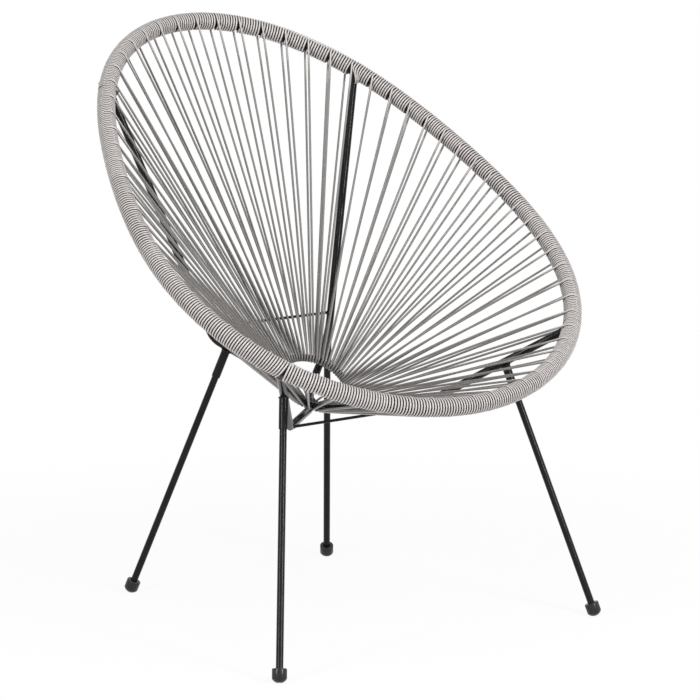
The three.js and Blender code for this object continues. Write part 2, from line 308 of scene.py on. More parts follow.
# %% Side tube routes
SIDE_TUBE_RADIUS = 0.006
TIE_ROD_RADIUS = 0.00225
SEAT_GAP = 0.0003
REAR_TUBE_BAY, FRONT_TUBE_BAY = 0.1076 * CORD_PAIRS, 0.3727 * CORD_PAIRS
REAR_BEND = RING_MIDDLE + (0.1095, 0.1092, 0.0625)
UNDER_BEND = RING_MIDDLE + (0.058, 0.0593, 0.0215)
MEETING_BEND = RING_MIDDLE + (0, 0.0173, -0.0405)
FRONT_BEND = RING_MIDDLE + (0.1187, -0.0993, -0.0375)
BEND_RADII = (0.036, 0.080, 0.030, 0.028)
BEND_STEPS = 18
MEETING_PASSES = 6
MIRROR = np.array((-1, 1, 1))
UP = np.array((0, 0, 1.0))


def bent_route(corners, radii):
    points = [corners[0]]
    for before, corner, after, radius in zip(corners, corners[1:], corners[2:], radii):
        back, ahead = unit(before - corner), unit(after - corner)
        half = math.acos(back.dot(ahead)) / 2
        centre = corner + unit(back + ahead) * radius / math.sin(half)
        spoke = corner + back * radius / math.tan(half) - centre
        for step in range(BEND_STEPS + 1):
            turn = (math.pi - 2 * half) * step / BEND_STEPS
            points.append(centre + spoke * math.cos(turn) - back * radius * math.sin(turn))
    points.append(corners[-1])
    return np.array(points)


def side_route(meeting_x):
    meeting = MEETING_BEND + ACROSS * meeting_x
    corners = [rim_point(REAR_TUBE_BAY), REAR_BEND, UNDER_BEND, meeting, FRONT_BEND,
               rim_point(FRONT_TUBE_BAY)]
    return bent_route(corners, BEND_RADII)


meeting_x = 0.0
for _ in range(MEETING_PASSES):
    nearest = side_route(meeting_x)[:, 0].min()
    meeting_x += SIDE_TUBE_RADIUS + SEAT_GAP / 2 - nearest
left_route = side_route(meeting_x)
routes = {"left": left_route, "right": left_route * MIRROR}
hands = {"left": np.ones(3), "right": MIRROR}
print("tubes clear each other at x =", left_route[:, 0].min().round(5))

# %% [markdown]
# A tube end that meets another tube is coped, cut to the other's curve, before it is welded.
# Instead of a Boolean, the end ring of points is slid along the tube until each point lies on the
# other tube, which is one line of algebra for each point and leaves no thin faces. The same sum
# gives the saddle at the top of each leg socket.

# %% Coped ends
BEAD_STEP = 0.0006
BEAD_STEPS_LEAST = 24
BEAD_RIPPLE = 0.12
STEPS_PER_RIPPLE = 4
BEAD_SIDES = 8


def reach_bar(starts, direction, bar_point, bar_along, bar_radius):
    """How far each start point can slide along a direction before it meets a round bar. A point
    that would pass beside the bar stops level with the bar's middle."""
    offset = starts - bar_point
    flat = offset - offset.dot(bar_along)[:, None] * bar_along
    heading = direction - direction.dot(bar_along) * bar_along
    a = heading.dot(heading)
    b = flat.dot(heading)
    c = (flat * flat).sum(axis=1) - bar_radius**2
    return (-b - np.sqrt(np.maximum(b * b - a * c, 0))) / a


def cope_end(piece, sides, at_start, bar_point, bar_along, bar_radius):
    mesh = piece.data
    rings = len(mesh.vertices) // sides
    first = 0 if at_start else (rings - 1) * sides
    inner = first + sides if at_start else first - sides
    points = np.array([v.co for v in mesh.vertices])
    base = points[inner:inner + sides]
    direction = unit((points[first:first + sides] - base).mean(axis=0))
    slid = base + reach_bar(base, direction, bar_point, bar_along, bar_radius)[:, None] * direction
    for i, place in enumerate(slid):
        mesh.vertices[first + i].co = place
    mesh.update()
    return slid


def weld_bead(name, loop, radius):
    """A bead laid round a joint: a closed rod whose size ripples as the welder moves on."""
    around = np.linalg.norm(np.roll(loop, -1, axis=0) - loop, axis=1).sum()
    count = max(BEAD_STEPS_LEAST, int(around / BEAD_STEP))
    places = np.arange(count) / count * len(loop)
    closed_loop = np.vstack((loop, loop[:1]))
    low = places.astype(int)
    share = (places - low)[:, None]
    path = closed_loop[low] * (1 - share) + closed_loop[low + 1] * share
    ripple = 1 + BEAD_RIPPLE * np.sin(np.arange(count) * 2 * math.pi / STEPS_PER_RIPPLE)
    middle = path.mean(axis=0)
    return sweep(name, path, path - middle, radius * ripple, radius * ripple, BEAD_SIDES,
                 closed=True)


print("reach_bar() and weld_bead() are ready")

# %% Side tubes, rods and their welds
TUBE_SIDES = 32
WELD_RADIUS = 0.0011
CLOSE_TO_HOOP = 0.012
CLEAR_OF_HOOP = 0.02

for hand, mirror in hands.items():
    route = routes[hand]
    start_run, end_run = unit(route[1] - route[0]), unit(route[-2] - route[-1])
    route = np.vstack((route[:1] + start_run * CLOSE_TO_HOOP / 2,
                       route[:1] + start_run * CLEAR_OF_HOOP, route[1:-1],
                       route[-1:] + end_run * CLEAR_OF_HOOP,
                       route[-1:] + end_run * CLOSE_TO_HOOP / 2))
    tube = sweep(f"side_tube_bent_{hand}", route, carried_normals(route, UP), SIDE_TUBE_RADIUS,
                 SIDE_TUBE_RADIUS, TUBE_SIDES)
    for end, bay, at_start in (("rear", REAR_TUBE_BAY, True), ("front", FRONT_TUBE_BAY, False)):
        place = rim_point(bay) * mirror
        along = rim_along(bay) * mirror
        rim_loop = cope_end(tube, TUBE_SIDES, at_start, place, along, HOOP_RADIUS + SEAT_GAP)
        weld_bead(f"weld_hoop_{end}_{hand}", rim_loop, WELD_RADIUS)
    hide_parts(f"side_tube_{hand}")
print("side tubes coped and welded to the hoop")

# %% [markdown]
# The tie rods are thin bars that keep the side tubes from spreading: one joins the front bends,
# the other crosses behind the bowl. A bead of weld hides each coped end.

# %% Tie rods
REAR_ROD_SHARE = 0.955
ROD_SIDES = 16
rod_places = {
    "rear": rim_point(REAR_TUBE_BAY) * (1 - REAR_ROD_SHARE) + REAR_BEND * REAR_ROD_SHARE,
    "front": FRONT_BEND,
}


def nearest_run(route, place):
    """The point of a route nearest to a place, and the route's direction there."""
    i = np.linalg.norm(route - place, axis=1).argmin()
    low, high = max(i - 1, 0), min(i + 1, len(route) - 1)
    run = unit(route[high] - route[low])
    return route[i], run


for end, place in rod_places.items():
    ends = []
    for hand, mirror in hands.items():
        side_place = place * mirror
        bar_point, bar_along = nearest_run(routes[hand], side_place)
        centre = side_place * np.array((0.5, 1, 1))
        base = centre + TIE_ROD_RADIUS * spokes_round(UP, np.array((0, 1.0, 0)), ROD_SIDES)
        outward = ACROSS * mirror[0]
        slid = base + reach_bar(base, outward, bar_point, bar_along,
                                SIDE_TUBE_RADIUS + SEAT_GAP)[:, None] * outward
        ends.append(slid)
        weld_bead(f"weld_rod_{end}_{hand}", slid, WELD_RADIUS)
    rod = add_mesh(f"tie_rod_bar_{end}", np.vstack(ends), skin_faces(2, ROD_SIDES, False),
                   SHARP_ON_BARS)
    weld_points(rod)
    rod.data.set_sharp_from_angle(angle=SHARP_ON_BARS)
    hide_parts(f"tie_rod_{end}")
print("tie rods at", {end: place.round(4).tolist() for end, place in rod_places.items()})

# %% [markdown]
# ## Legs, sockets and foot caps
#
# Each leg is a plain tube that plugs up into a socket welded under a side tube, and down into a
# rubber cap. A leg could be a Cylinder primitive, but the turned profile gives its ends the
# chamfer that lets them slip in. The socket's top is a saddle that hugs the side tube.

# %% Leg geometry
LEG_RADIUS = 0.00525
BORE_RADIUS = LEG_RADIUS + SEAT_GAP
SOCKET_RADIUS = BORE_RADIUS + 0.001
SOCKET_LENGTH = 0.050
SOCKET_SETBACK = 0.005
LEG_IN_SOCKET = 0.028
CAP_RADIUS = 0.0107
CAP_HEIGHT = 0.020
CAP_DOME_RADIUS = 0.012
CAP_FLAT_DEPTH = 0.0007
CAP_BORE_DEPTH = 0.013
CAP_LIP = 0.0014
DOME_HEIGHT = CAP_DOME_RADIUS - CAP_FLAT_DEPTH
CAP_TOP = CAP_HEIGHT - DOME_HEIGHT
CAP_FLOOR = CAP_TOP - CAP_BORE_DEPTH
CAP_DOME_STEPS = 16
CAP_LIP_STEPS = 5
CAP_BORE_EDGE = 0.0004
LEG_CHAMFER = 0.001
FRONT_SOCKET_SHARE = 0.57
REAR_SOCKET_SHARE = 0.30
LEG_SIDES = 32
CAP_SIDES = 40

leg_places = {
    "front": (np.array((0.2907, -0.2832, DOME_HEIGHT)),
              FRONT_BEND + FRONT_SOCKET_SHARE * (rim_point(FRONT_TUBE_BAY) - FRONT_BEND)),
    "rear": (np.array((0.1875, 0.249, DOME_HEIGHT)),
             REAR_BEND + REAR_SOCKET_SHARE * (UNDER_BEND - REAR_BEND)),
}


def cap_profile():
    """The dome, a straight wall, a rounded lip and the blind bore, from the dome's middle."""
    dome_end = math.asin(CAP_RADIUS / CAP_DOME_RADIUS)
    points = []
    for step in range(CAP_DOME_STEPS + 1):
        angle = dome_end * step / CAP_DOME_STEPS
        height = max(-CAP_DOME_RADIUS * math.cos(angle), -DOME_HEIGHT)
        points.append((CAP_DOME_RADIUS * math.sin(angle), height))
    for step in range(CAP_LIP_STEPS + 1):
        angle = math.pi / 2 * step / CAP_LIP_STEPS
        points.append((CAP_RADIUS - CAP_LIP * (1 - math.cos(angle)),
                       CAP_TOP - CAP_LIP * (1 - math.sin(angle))))
    points += [(BORE_RADIUS + CAP_BORE_EDGE, CAP_TOP), (BORE_RADIUS, CAP_TOP - CAP_BORE_EDGE),
               (BORE_RADIUS, CAP_FLOOR), (0, CAP_FLOOR)]
    return points


def leg_profile(length):
    return [(0, 0), (LEG_RADIUS - LEG_CHAMFER, 0), (LEG_RADIUS, LEG_CHAMFER),
            (LEG_RADIUS, length - LEG_CHAMFER), (LEG_RADIUS - LEG_CHAMFER, length), (0, length)]


print("cap profile has", len(cap_profile()), "points")

# %% Build the four legs
SOCKET_EDGE = 0.0003

for end, (foot, aim) in leg_places.items():
    for hand, mirror in hands.items():
        dome, top = foot * mirror, aim * mirror
        direction = unit(top - dome)
        reach = np.linalg.norm(top - dome)
        socket_foot = reach - SOCKET_LENGTH
        leg_start = CAP_FLOOR + SEAT_GAP
        leg = turned(f"leg_tube_{end}_{hand}", leg_profile(socket_foot + LEG_IN_SOCKET - leg_start),
                     dome + direction * leg_start, direction, LEG_SIDES)
        cap = turned(f"rubber_cap_{end}_{hand}", cap_profile(), dome, direction, CAP_SIDES)
        # The leg leans, but the cap's foot is worn flat on the floor
        for vertex in cap.data.vertices:
            vertex.co.z = max(vertex.co.z, 0)
        bar_point, bar_along = nearest_run(routes[hand], top)
        base = dome + direction * socket_foot
        first = unit(np.cross(direction, bar_along))
        spokes = spokes_round(first, np.cross(direction, first), LEG_SIDES)
        levels = [(BORE_RADIUS, SOCKET_EDGE), (BORE_RADIUS + SOCKET_EDGE, 0),
                  (SOCKET_RADIUS - SOCKET_EDGE, 0), (SOCKET_RADIUS, SOCKET_EDGE)]
        rings = [base + radius * spokes + height * direction for radius, height in levels]
        for radius in (SOCKET_RADIUS, BORE_RADIUS):
            mouth = base + radius * spokes
            slide = reach_bar(mouth, direction, bar_point, bar_along, SIDE_TUBE_RADIUS + SEAT_GAP)
            slide = np.minimum(slide, SOCKET_LENGTH - SOCKET_SETBACK)
            rings.append(mouth + slide[:, None] * direction)
        socket = add_mesh(f"socket_tube_{end}_{hand}", np.vstack(rings),
                          skin_faces(len(rings), LEG_SIDES, True), SHARP_ON_TURNED)
        weld_points(socket)
        socket.data.set_sharp_from_angle(angle=SHARP_ON_TURNED)
        weld_bead(f"weld_socket_{end}_{hand}", rings[4], WELD_RADIUS)
        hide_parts(f"leg_{end}_{hand}")
        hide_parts(f"foot_cap_{end}_{hand}")
        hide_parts(f"socket_{end}_{hand}")
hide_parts("rim_hoop")
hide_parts("centre_ring")
print("legs, sockets and caps:", 3 * len(leg_places) * len(hands), "pieces")

# %% [markdown]
# ## One long cord
#
# The seat is wound with one cord. It goes round the hoop about nine times, leaves on the sitter's
# side, runs to the ring, turns round the ring's bar, comes back under the hoop and winds on. An
# array of rings would look regular but false: it has no start or end. So each bay is a real
# winding, told by one place for each turn. A hand that winds keeps the turns square on the faces
# that show and steps over to the next one underneath. The turn that goes off to the ring is
# missing on the inner side, and that leaves the small dark wedge beside every strand.

# %% Where the turns lie
CORD_RADIUS = 0.0017
CORD_PRESSED_TALL = 0.0017
CORD_PRESSED_WIDE = 0.00162
WRAP_REACH = HOOP_RADIUS + SEAT_GAP + CORD_PRESSED_TALL
FRONT_STRAND_LIFT = 0.0011
BACK_STRAND_LIFT = 0.0003
LOOP_REACH = RING_BAR_RADIUS + SEAT_GAP + CORD_RADIUS
TURN_PITCH = 0.00418
TUBE_ROOM_SHARE = 0.33
TUBE_BAYS = (REAR_TUBE_BAY, FRONT_TUBE_BAY,
             CORD_PAIRS - FRONT_TUBE_BAY, CORD_PAIRS - REAR_TUBE_BAY)
PANEL_PAIRS = (4, 4, 4, 4, 5, 4, 4, 4, 4, 5, 4, 4, 4, 5, 4, 3)

turns_in_bay = np.round(bay_lengths / TURN_PITCH).astype(int)


def beside_tube(k):
    """A back strand meets the hoop at every whole bay, or beside the side tube in its way."""
    lap, pair = divmod(k, CORD_PAIRS)
    for tube in TUBE_BAYS:
        if abs(pair - tube) < TUBE_ROOM_SHARE:
            pair = tube + math.copysign(TUBE_ROOM_SHARE, pair - tube)
    return pair + lap * CORD_PAIRS


def half_turn(k):
    return 0.5 / turns_in_bay[k % CORD_PAIRS]


print("turns in a bay:", turns_in_bay.min(), "to", turns_in_bay.max(), "and", turns_in_bay.sum(),
      "in all")

# %% [markdown]
# A side tube comes up to the hoop between two turns, and the turns after it have to lie round its
# far side. They keep their place on the seat side, hook round the tube on the inner side and come
# back slowly along the underside, so on the outer face they fan out and leave a narrow dark
# triangle. Each one is pushed a little less than the one before, until a few bays on they are
# square again. One turn crosses under the tube from its near side to its far side. At the rear
# tubes there is no room to spread, so there the turns are heaped on one another round the tube's
# root.

# %% Round the side tubes
HOOK_START, HOOK_FULL = 100, 168
RETURN_START, RETURN_END = 195, 410
RETURN_BEND = 1.6
PASS_ROOM = 2 * (SIDE_TUBE_RADIUS + CORD_PRESSED_WIDE + SEAT_GAP)
RECOVERIES = (0.018, 0.095, 0.095, 0.018)
HEAPS = (0.0075, 0, 0, 0.0075)
HEAP_SPREAD = 75

tube_bends = (REAR_BEND, FRONT_BEND, FRONT_BEND * MIRROR, REAR_BEND * MIRROR)
tube_passes = []
for tube, bend, recovery, heap in zip(TUBE_BAYS, tube_bends, RECOVERIES, HEAPS):
    tube_along, tube_outward = rim_axes(tube)[:2]
    tube_run = bend - rim_point(tube)
    lean = tube_run.dot(tube_along) / -tube_run.dot(tube_outward)
    near_side = tube + (lean * WRAP_REACH - PASS_ROOM / 2) / bay_lengths[int(tube)]
    tube_passes.append((near_side, recovery, heap))


def smooth(t):
    t = np.clip(t, 0, 1)
    return t * t * (3 - 2 * t)


def push_share(angle):
    """How much of the push is felt at an angle round the hoop: 0 is outward, 90 seatward."""
    degrees = np.degrees(angle) % 360
    degrees = np.where(degrees < RETURN_END - 360, degrees + 360, degrees)
    hook = smooth((degrees - HOOK_START) / (HOOK_FULL - HOOK_START))
    back = np.clip((RETURN_END - degrees) / (RETURN_END - RETURN_START), 0, 1) ** RETURN_BEND
    return np.where(degrees < HOOK_FULL, hook, back)


def held_off(bay, angle, bay_length):
    """Where a turn lies once a side tube has pushed it on, how far it is squeezed, 1 for not, and
    how high it is heaped."""
    share = push_share(angle)
    inner = smooth(1 - np.abs(np.degrees(angle) % 360 - 180) / HEAP_SPREAD)
    push, squeeze, heaped = 0, 1, 0
    for near_side, recovery, heap in tube_passes:
        past = (bay % CORD_PAIRS - near_side) * bay_length
        felt = np.where((past > 0) & (past < recovery), 1 - past / recovery, 0)
        push = push + felt * share * PASS_ROOM
        squeeze = squeeze - (felt > 0) * share * PASS_ROOM / recovery
        heaped = heaped + felt * inner * heap
    return bay + push / bay_length, squeeze, heaped


print("turns pass the tubes at bays", [round(float(tube_pass[0]), 2) for tube_pass in tube_passes])

# %% [markdown]
# Where the cord leaves for the ring or comes back from it, its last ninth of a turn leans over
# into the line of the strand. Hand winding is never quite even, so every turn is a tenth of a
# millimetre or so off.

# %% The winding of one bay
STEPS_PER_TURN = 24
QUARTER = 0.25
INNER_PART = 0.75
JITTER = 0.00013
STEP_OVER = 0.80
CROSSING = 0.885
CROSSING_RAISE = 0.0034
RAISE_START = 0.86
LEAN_IN = 0.11
DETOUR = 0.17
DETOUR_START = 0.04
DETOUR_RAISE = 1.4 * CORD_RADIUS
NARROWEST = 0.7
SQUEEZED_UP = 0.0009
UPHILL_BELOW, UPHILL_FADE = 14, 4
VOID_FILL = (-0.0007, -0.0004, -0.0002)
UNDERSIDE = 1.5 * math.pi


def back_strand_place(k):
    """Where the back strand meets the hoop, and how far that is from its own turn."""
    own = held_off(k + half_turn(k), UNDERSIDE, bay_lengths[k % CORD_PAIRS])[0]
    uphill = 2 * half_turn(k) * np.clip((UPHILL_BELOW - k % CORD_PAIRS) / UPHILL_FADE, 0, 1)
    if beside_tube(k) == k:
        return own - uphill, -uphill
    place = beside_tube(k) + half_turn(k) - uphill
    return place, place - own


def front_strand_place(k):
    return k - half_turn(k - 1)


def strand_slope(rim_bay, ring_bay, bay_length):
    """How much a strand leans along the hoop, in bays for each turn round it."""
    along, outward = rim_axes(rim_bay)[:2]
    run = ring_point(ring_bay) - rim_point(rim_bay)
    return run.dot(along) / -run.dot(outward) * 2 * math.pi * WRAP_REACH / bay_length


def winding(k):
    """Path, normals, section and looseness of the turns from pair k to the next: the first arrives
    on the underside, and the last leaves on the sitter's side."""
    bay_length = bay_lengths[k % CORD_PAIRS]
    turns = turns_in_bay[k % CORD_PAIRS]
    at = np.arange((turns - 1) * STEPS_PER_TURN + STEPS_PER_TURN // 2 + 1) / STEPS_PER_TURN
    angle = (at - QUARTER) * 2 * math.pi
    turn = np.minimum(at.astype(int), turns - 1)
    part = at - turn
    own = k + (turn + 0.5) / turns
    following = own + 1 / turns
    crossing = np.zeros(len(at), bool)
    for near_side, _, _ in tube_passes:
        crossing |= (own % CORD_PAIRS < near_side) & (following % CORD_PAIRS > near_side)
    begin = np.where(crossing, CROSSING, STEP_OVER)
    step = smooth((part - begin) / (1 - begin))
    here, there = (np.array(np.broadcast_arrays(*held_off(bay, angle, bay_length)))
                   for bay in (own, following))
    bay, squeeze, heaped = here * (1 - step) + there * step

    fill = np.zeros(turns)
    fill[:len(VOID_FILL)] = VOID_FILL
    fill[-2] = -VOID_FILL[1]
    inner = smooth(1 - np.abs(part - INNER_PART) / QUARTER)
    uneven = np.random.default_rng(k % CORD_PAIRS).uniform(-JITTER, JITTER, 2 * turns)
    bay = bay + (fill[turn] * inner + np.interp(at * 2, np.arange(2 * turns), uneven)) / bay_length

    place, detour = back_strand_place(k)
    bay = bay + detour * (1 - smooth(at / DETOUR))
    for where, wanted, ring_bay, side in (
            (0, place, beside_tube(k), -1), (-1, front_strand_place(k + 1), beside_tube(k + 1), 1)):
        edge = (bay[where] - bay[where - side]) * STEPS_PER_TURN * side
        bent = strand_slope(wanted, ring_bay, bay_length) - edge
        t = np.clip(np.abs(at - at[where]) / LEAN_IN, 0, 1)
        bay = bay + (wanted - bay[where]) * (1 - smooth(t)) - bent * LEAN_IN * t * (1 - t) ** 2

    from_start = np.clip(1 - at / QUARTER, 0, 1) ** 2
    from_end = np.clip(1 - (at[-1] - at) / QUARTER, 0, 1) ** 2
    free = from_start + from_end
    hump = np.sin(math.pi * smooth((part - RAISE_START) / (1 - RAISE_START)))
    raised = np.where(crossing, CROSSING_RAISE * hump, 0)
    lifted = min(abs(detour) * turns, 1) * DETOUR_RAISE
    raised = raised + lifted * (1 - smooth((at - DETOUR_START) / DETOUR))
    squeeze = np.maximum(squeeze, NARROWEST)
    tall = CORD_PRESSED_TALL + (1 - squeeze) * SQUEEZED_UP
    wide = CORD_PRESSED_WIDE * squeeze
    wide = wide + (CORD_RADIUS - wide) * free
    tall = tall + (CORD_RADIUS - tall) * free
    reach = (HOOP_RADIUS + SEAT_GAP + tall + raised + heaped + FRONT_STRAND_LIFT * from_end
             + BACK_STRAND_LIFT * from_start)
    along, outward, seatward = rim_axes(bay)
    normals = np.cos(angle)[:, None] * outward + np.sin(angle)[:, None] * seatward
    return rim_point(bay) + reach[:, None] * normals, normals, tall, wide, np.zeros(len(at))


print("the back strands meet the hoop at bays",
      [round(float(back_strand_place(k)[0]), 2) for k in range(CORD_PAIRS)])

# %% [markdown]
# From the hoop to the ring the cord is straight and round. It goes over the ring's bar, round it
# in a half circle and back underneath, so every pair is one bend of the same cord.

# %% The pair of strands
STRAND_STEPS = 10
LOOP_STEPS = 12


def strands(k):
    """The pair of strands at pair k, from the hoop to the ring, round its bar, and back."""
    ring_bay = beside_tube(k)
    ring_run = ring_along(ring_bay)
    away = unit(rim_point(ring_bay) - ring_point(ring_bay))
    ring_up = unit(np.cross(ring_run, away))
    ring_out = np.cross(ring_up, ring_run)
    turn = np.arange(LOOP_STEPS + 1)[:, None] * math.pi / LOOP_STEPS
    loop_normals = np.cos(turn) * ring_up - np.sin(turn) * ring_out
    loop = ring_point(ring_bay) + LOOP_REACH * loop_normals
    share = np.arange(1, STRAND_STEPS)[:, None] / STRAND_STEPS
    leave, leave_normals = (part[-1] for part in winding(k - 1)[:2])
    arrive, arrive_normals = (part[0] for part in winding(k)[:2])
    path = np.vstack((leave * (1 - share) + loop[0] * share, loop,
                      loop[-1] * (1 - share) + arrive * share))
    normals = np.vstack((leave_normals * (1 - share) + ring_up * share, loop_normals,
                         -ring_up * (1 - share) + arrive_normals * share))
    radius = np.full(len(path), CORD_RADIUS)
    return path, unit(normals), radius, radius, np.ones(len(path))


for side, pair in (("back", 0), ("front", CORD_PAIRS // 2)):
    span = np.linalg.norm(rim_point(pair) - ring_point(pair))
    print("strands at the", side, "are about", round(float(span), 3), "m long")

# %% Wind the panels
CORD_SIDES = 10


def cut_step(k):
    """The step of winding k that lies over the edge between two panels, on the hoop's underside."""
    return turns_in_bay[k % CORD_PAIRS] // 2 * STEPS_PER_TURN


def panel_course(first, last):
    head = cut_step(first - 1)
    parts = [tuple(part[head:] for part in winding(first - 1))]
    for k in range(first, last):
        parts.append(strands(k))
        parts.append(winding(k))
    tail = cut_step(last - 1)
    parts[-1] = tuple(part[:tail + 1] for part in parts[-1])
    return [np.concatenate(column) for column in zip(*parts)]


cord_length = 0.0
first_pair = 0
for number, pairs in enumerate(PANEL_PAIRS, 1):
    path, normals, tall, wide, loose = panel_course(first_pair, first_pair + pairs)
    piece = sweep(f"wound_cord_{number:02d}", path, normals, tall, wide, CORD_SIDES)
    run = np.concatenate(([0], np.cumsum(np.linalg.norm(np.diff(path, axis=0), axis=1))))
    turn = np.arange(CORD_SIDES) * 2 * math.pi / CORD_SIDES
    grain = np.stack((
        np.repeat(cord_length + run, CORD_SIDES),
        np.tile(np.cos(turn), len(path)),
        np.tile(np.sin(turn), len(path)),
    ), axis=1)
    attribute = piece.data.attributes.new("cord_run", "FLOAT_VECTOR", "POINT")
    attribute.data.foreach_set("vector", grain.astype(np.float32).ravel())
    attribute = piece.data.attributes.new("cord_loose", "FLOAT", "POINT")
    attribute.data.foreach_set("value", np.repeat(loose, CORD_SIDES).astype(np.float32))
    cord_length += run[-1]
    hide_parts(f"cord_panel_{number:02d}")
    first_pair += pairs
print("cord length", round(cord_length, 1), "m in", len(PANEL_PAIRS), "panels")

# %% [markdown]
# ## Finishes
#
# Real plastic and paint are never one flat colour. Three small effects do most of the work, and
# more than one material wants them, so each is a node group with its own knobs: a slow mottle of
# the colour, dust that settles on what faces up, and a fine grain for the bump.


# %% Node helpers
def node(tree, kind, inputs=(), **settings):
    made = tree.nodes.new(kind)
    for name, value in settings.items():
        setattr(made, name, value)
    for socket, value in dict(inputs).items():
        if isinstance(value, bpy.types.NodeSocket):
            tree.links.new(value, made.inputs[socket])
        else:
            made.inputs[socket].default_value = value
    return made


def new_group(name, inputs, outputs):
    tree = bpy.data.node_groups.new(name, "ShaderNodeTree")
    for label, kind, value in inputs:
        socket = tree.interface.new_socket(name=label, in_out="INPUT", socket_type=kind)
        socket.default_value = value
    for label, kind in outputs:
        tree.interface.new_socket(name=label, in_out="OUTPUT", socket_type=kind)
    return tree, tree.nodes.new("NodeGroupInput"), tree.nodes.new("NodeGroupOutput")


FLOAT, COLOUR, VECTOR = "NodeSocketFloat", "NodeSocketColor", "NodeSocketVector"
print("node helpers are ready")

# %% Mottle, dust and grain as groups
mottle, knobs, results = new_group(
    "mottle",
    [("Colour", COLOUR, (0.5, 0.5, 0.5, 1)), ("Second Colour", COLOUR, (0.4, 0.4, 0.4, 1)),
     ("Vector", VECTOR, (0, 0, 0)), ("Scale", FLOAT, 20.0), ("Amount", FLOAT, 0.5)],
    [("Colour", COLOUR), ("Mask", FLOAT)],
)
cloud = node(mottle, "ShaderNodeTexNoise",
             {"Vector": knobs.outputs["Vector"], "Scale": knobs.outputs["Scale"], "Detail": 3.0})
spread = node(mottle, "ShaderNodeMapRange",
              {"Value": cloud.outputs["Fac"], "From Min": 0.35, "From Max": 0.65})
strength = node(mottle, "ShaderNodeMath", {0: spread.outputs["Result"], 1: knobs.outputs["Amount"]},
                operation="MULTIPLY")
blend = node(mottle, "ShaderNodeMix",
             {"Factor": strength.outputs[0], 6: knobs.outputs["Colour"],
              7: knobs.outputs["Second Colour"]}, data_type="RGBA")
mottle.links.new(blend.outputs[2], results.inputs["Colour"])
mottle.links.new(strength.outputs[0], results.inputs["Mask"])

dust, knobs, results = new_group(
    "settled_dust", [("Amount", FLOAT, 0.2), ("Scale", FLOAT, 60.0)], [("Mask", FLOAT)],
)
surface = node(dust, "ShaderNodeNewGeometry")
facing = node(dust, "ShaderNodeSeparateXYZ", {0: surface.outputs["Normal"]})
upward = node(dust, "ShaderNodeMapRange",
              {"Value": facing.outputs["Z"], "From Min": 0.2, "From Max": 1.0})
specks = node(dust, "ShaderNodeTexNoise",
              {"Vector": surface.outputs["Position"], "Scale": knobs.outputs["Scale"],
               "Detail": 5.0})
patches = node(dust, "ShaderNodeMapRange",
               {"Value": specks.outputs["Fac"], "From Min": 0.4, "From Max": 0.75})
lying = node(dust, "ShaderNodeMath", {0: upward.outputs[0], 1: patches.outputs[0]},
             operation="MULTIPLY")
amount = node(dust, "ShaderNodeMath", {0: lying.outputs[0], 1: knobs.outputs["Amount"]},
              operation="MULTIPLY")
dust.links.new(amount.outputs[0], results.inputs["Mask"])

grain_group, knobs, results = new_group(
    "fine_grain",
    [("Vector", VECTOR, (0, 0, 0)), ("Scale", FLOAT, 900.0), ("Coarse Share", FLOAT, 0.3)],
    [("Height", FLOAT)],
)
fine = node(grain_group, "ShaderNodeTexNoise",
            {"Vector": knobs.outputs["Vector"], "Scale": knobs.outputs["Scale"], "Detail": 2.0})
coarse_scale = node(grain_group, "ShaderNodeMath", {0: knobs.outputs["Scale"], 1: 0.2},
                    operation="MULTIPLY")
coarse = node(grain_group, "ShaderNodeTexNoise",
              {"Vector": knobs.outputs["Vector"], "Scale": coarse_scale.outputs[0], "Detail": 1.0})
both = node(grain_group, "ShaderNodeMix",
            {"Factor": knobs.outputs["Coarse Share"], 2: fine.outputs["Fac"],
             3: coarse.outputs["Fac"]}, data_type="FLOAT")
grain_group.links.new(both.outputs[0], results.inputs["Height"])
print("groups:", [group.name for group in bpy.data.node_groups])

# %% [markdown]
# ### Grey cord
#
# The cord is extruded soft plastic: a warm grey, half glossy, with faint lines along its length
# from the die and slow drifts of tone. The free strands are painted a darker grey than the
# turns on the hoop, as painted shade. Painted shade also darkens the flanks of the turns, where
# one lies against the next, and darkens the strands hardly at all. Lines and painted shade must
# follow the cord round every bend, so they don't come from the object's axes but from a
# coordinate stored on the mesh: metres along the cord, and the direction round it.

# %% Grey cord material
RELIEF_DEPTH = 0.0002
CORD_STRETCH = (6.0, 1.0, 1.0)


def new_material(name):
    material = bpy.data.materials.new(name)
    material.use_nodes = True
    tree = material.node_tree
    return material, tree, tree.nodes["Principled BSDF"]


def placed_group(tree, group, inputs):
    made = tree.nodes.new("ShaderNodeGroup")
    made.node_tree = group
    for socket, value in inputs.items():
        if isinstance(value, bpy.types.NodeSocket):
            tree.links.new(value, made.inputs[socket])
        else:
            made.inputs[socket].default_value = value
    return made


def dusty_colour(tree, colour, dust_mask, dust_colour):
    mixed = node(tree, "ShaderNodeMix", {"Factor": dust_mask, 6: colour, 7: dust_colour},
                 data_type="RGBA")
    return mixed.outputs[2]


def feel(tree, shader, relief, strength, rough, specular):
    """How a finish feels: its fine relief, its roughness over a mask, and its shine."""
    roughness = node(tree, "ShaderNodeMapRange", rough)
    tree.links.new(roughness.outputs[0], shader.inputs["Roughness"])
    shader.inputs["Specular IOR Level"].default_value = specular
    bump = node(tree, "ShaderNodeBump", {"Height": relief.outputs["Height"], "Strength": strength,
                                         "Distance": RELIEF_DEPTH})
    tree.links.new(bump.outputs[0], shader.inputs["Normal"])


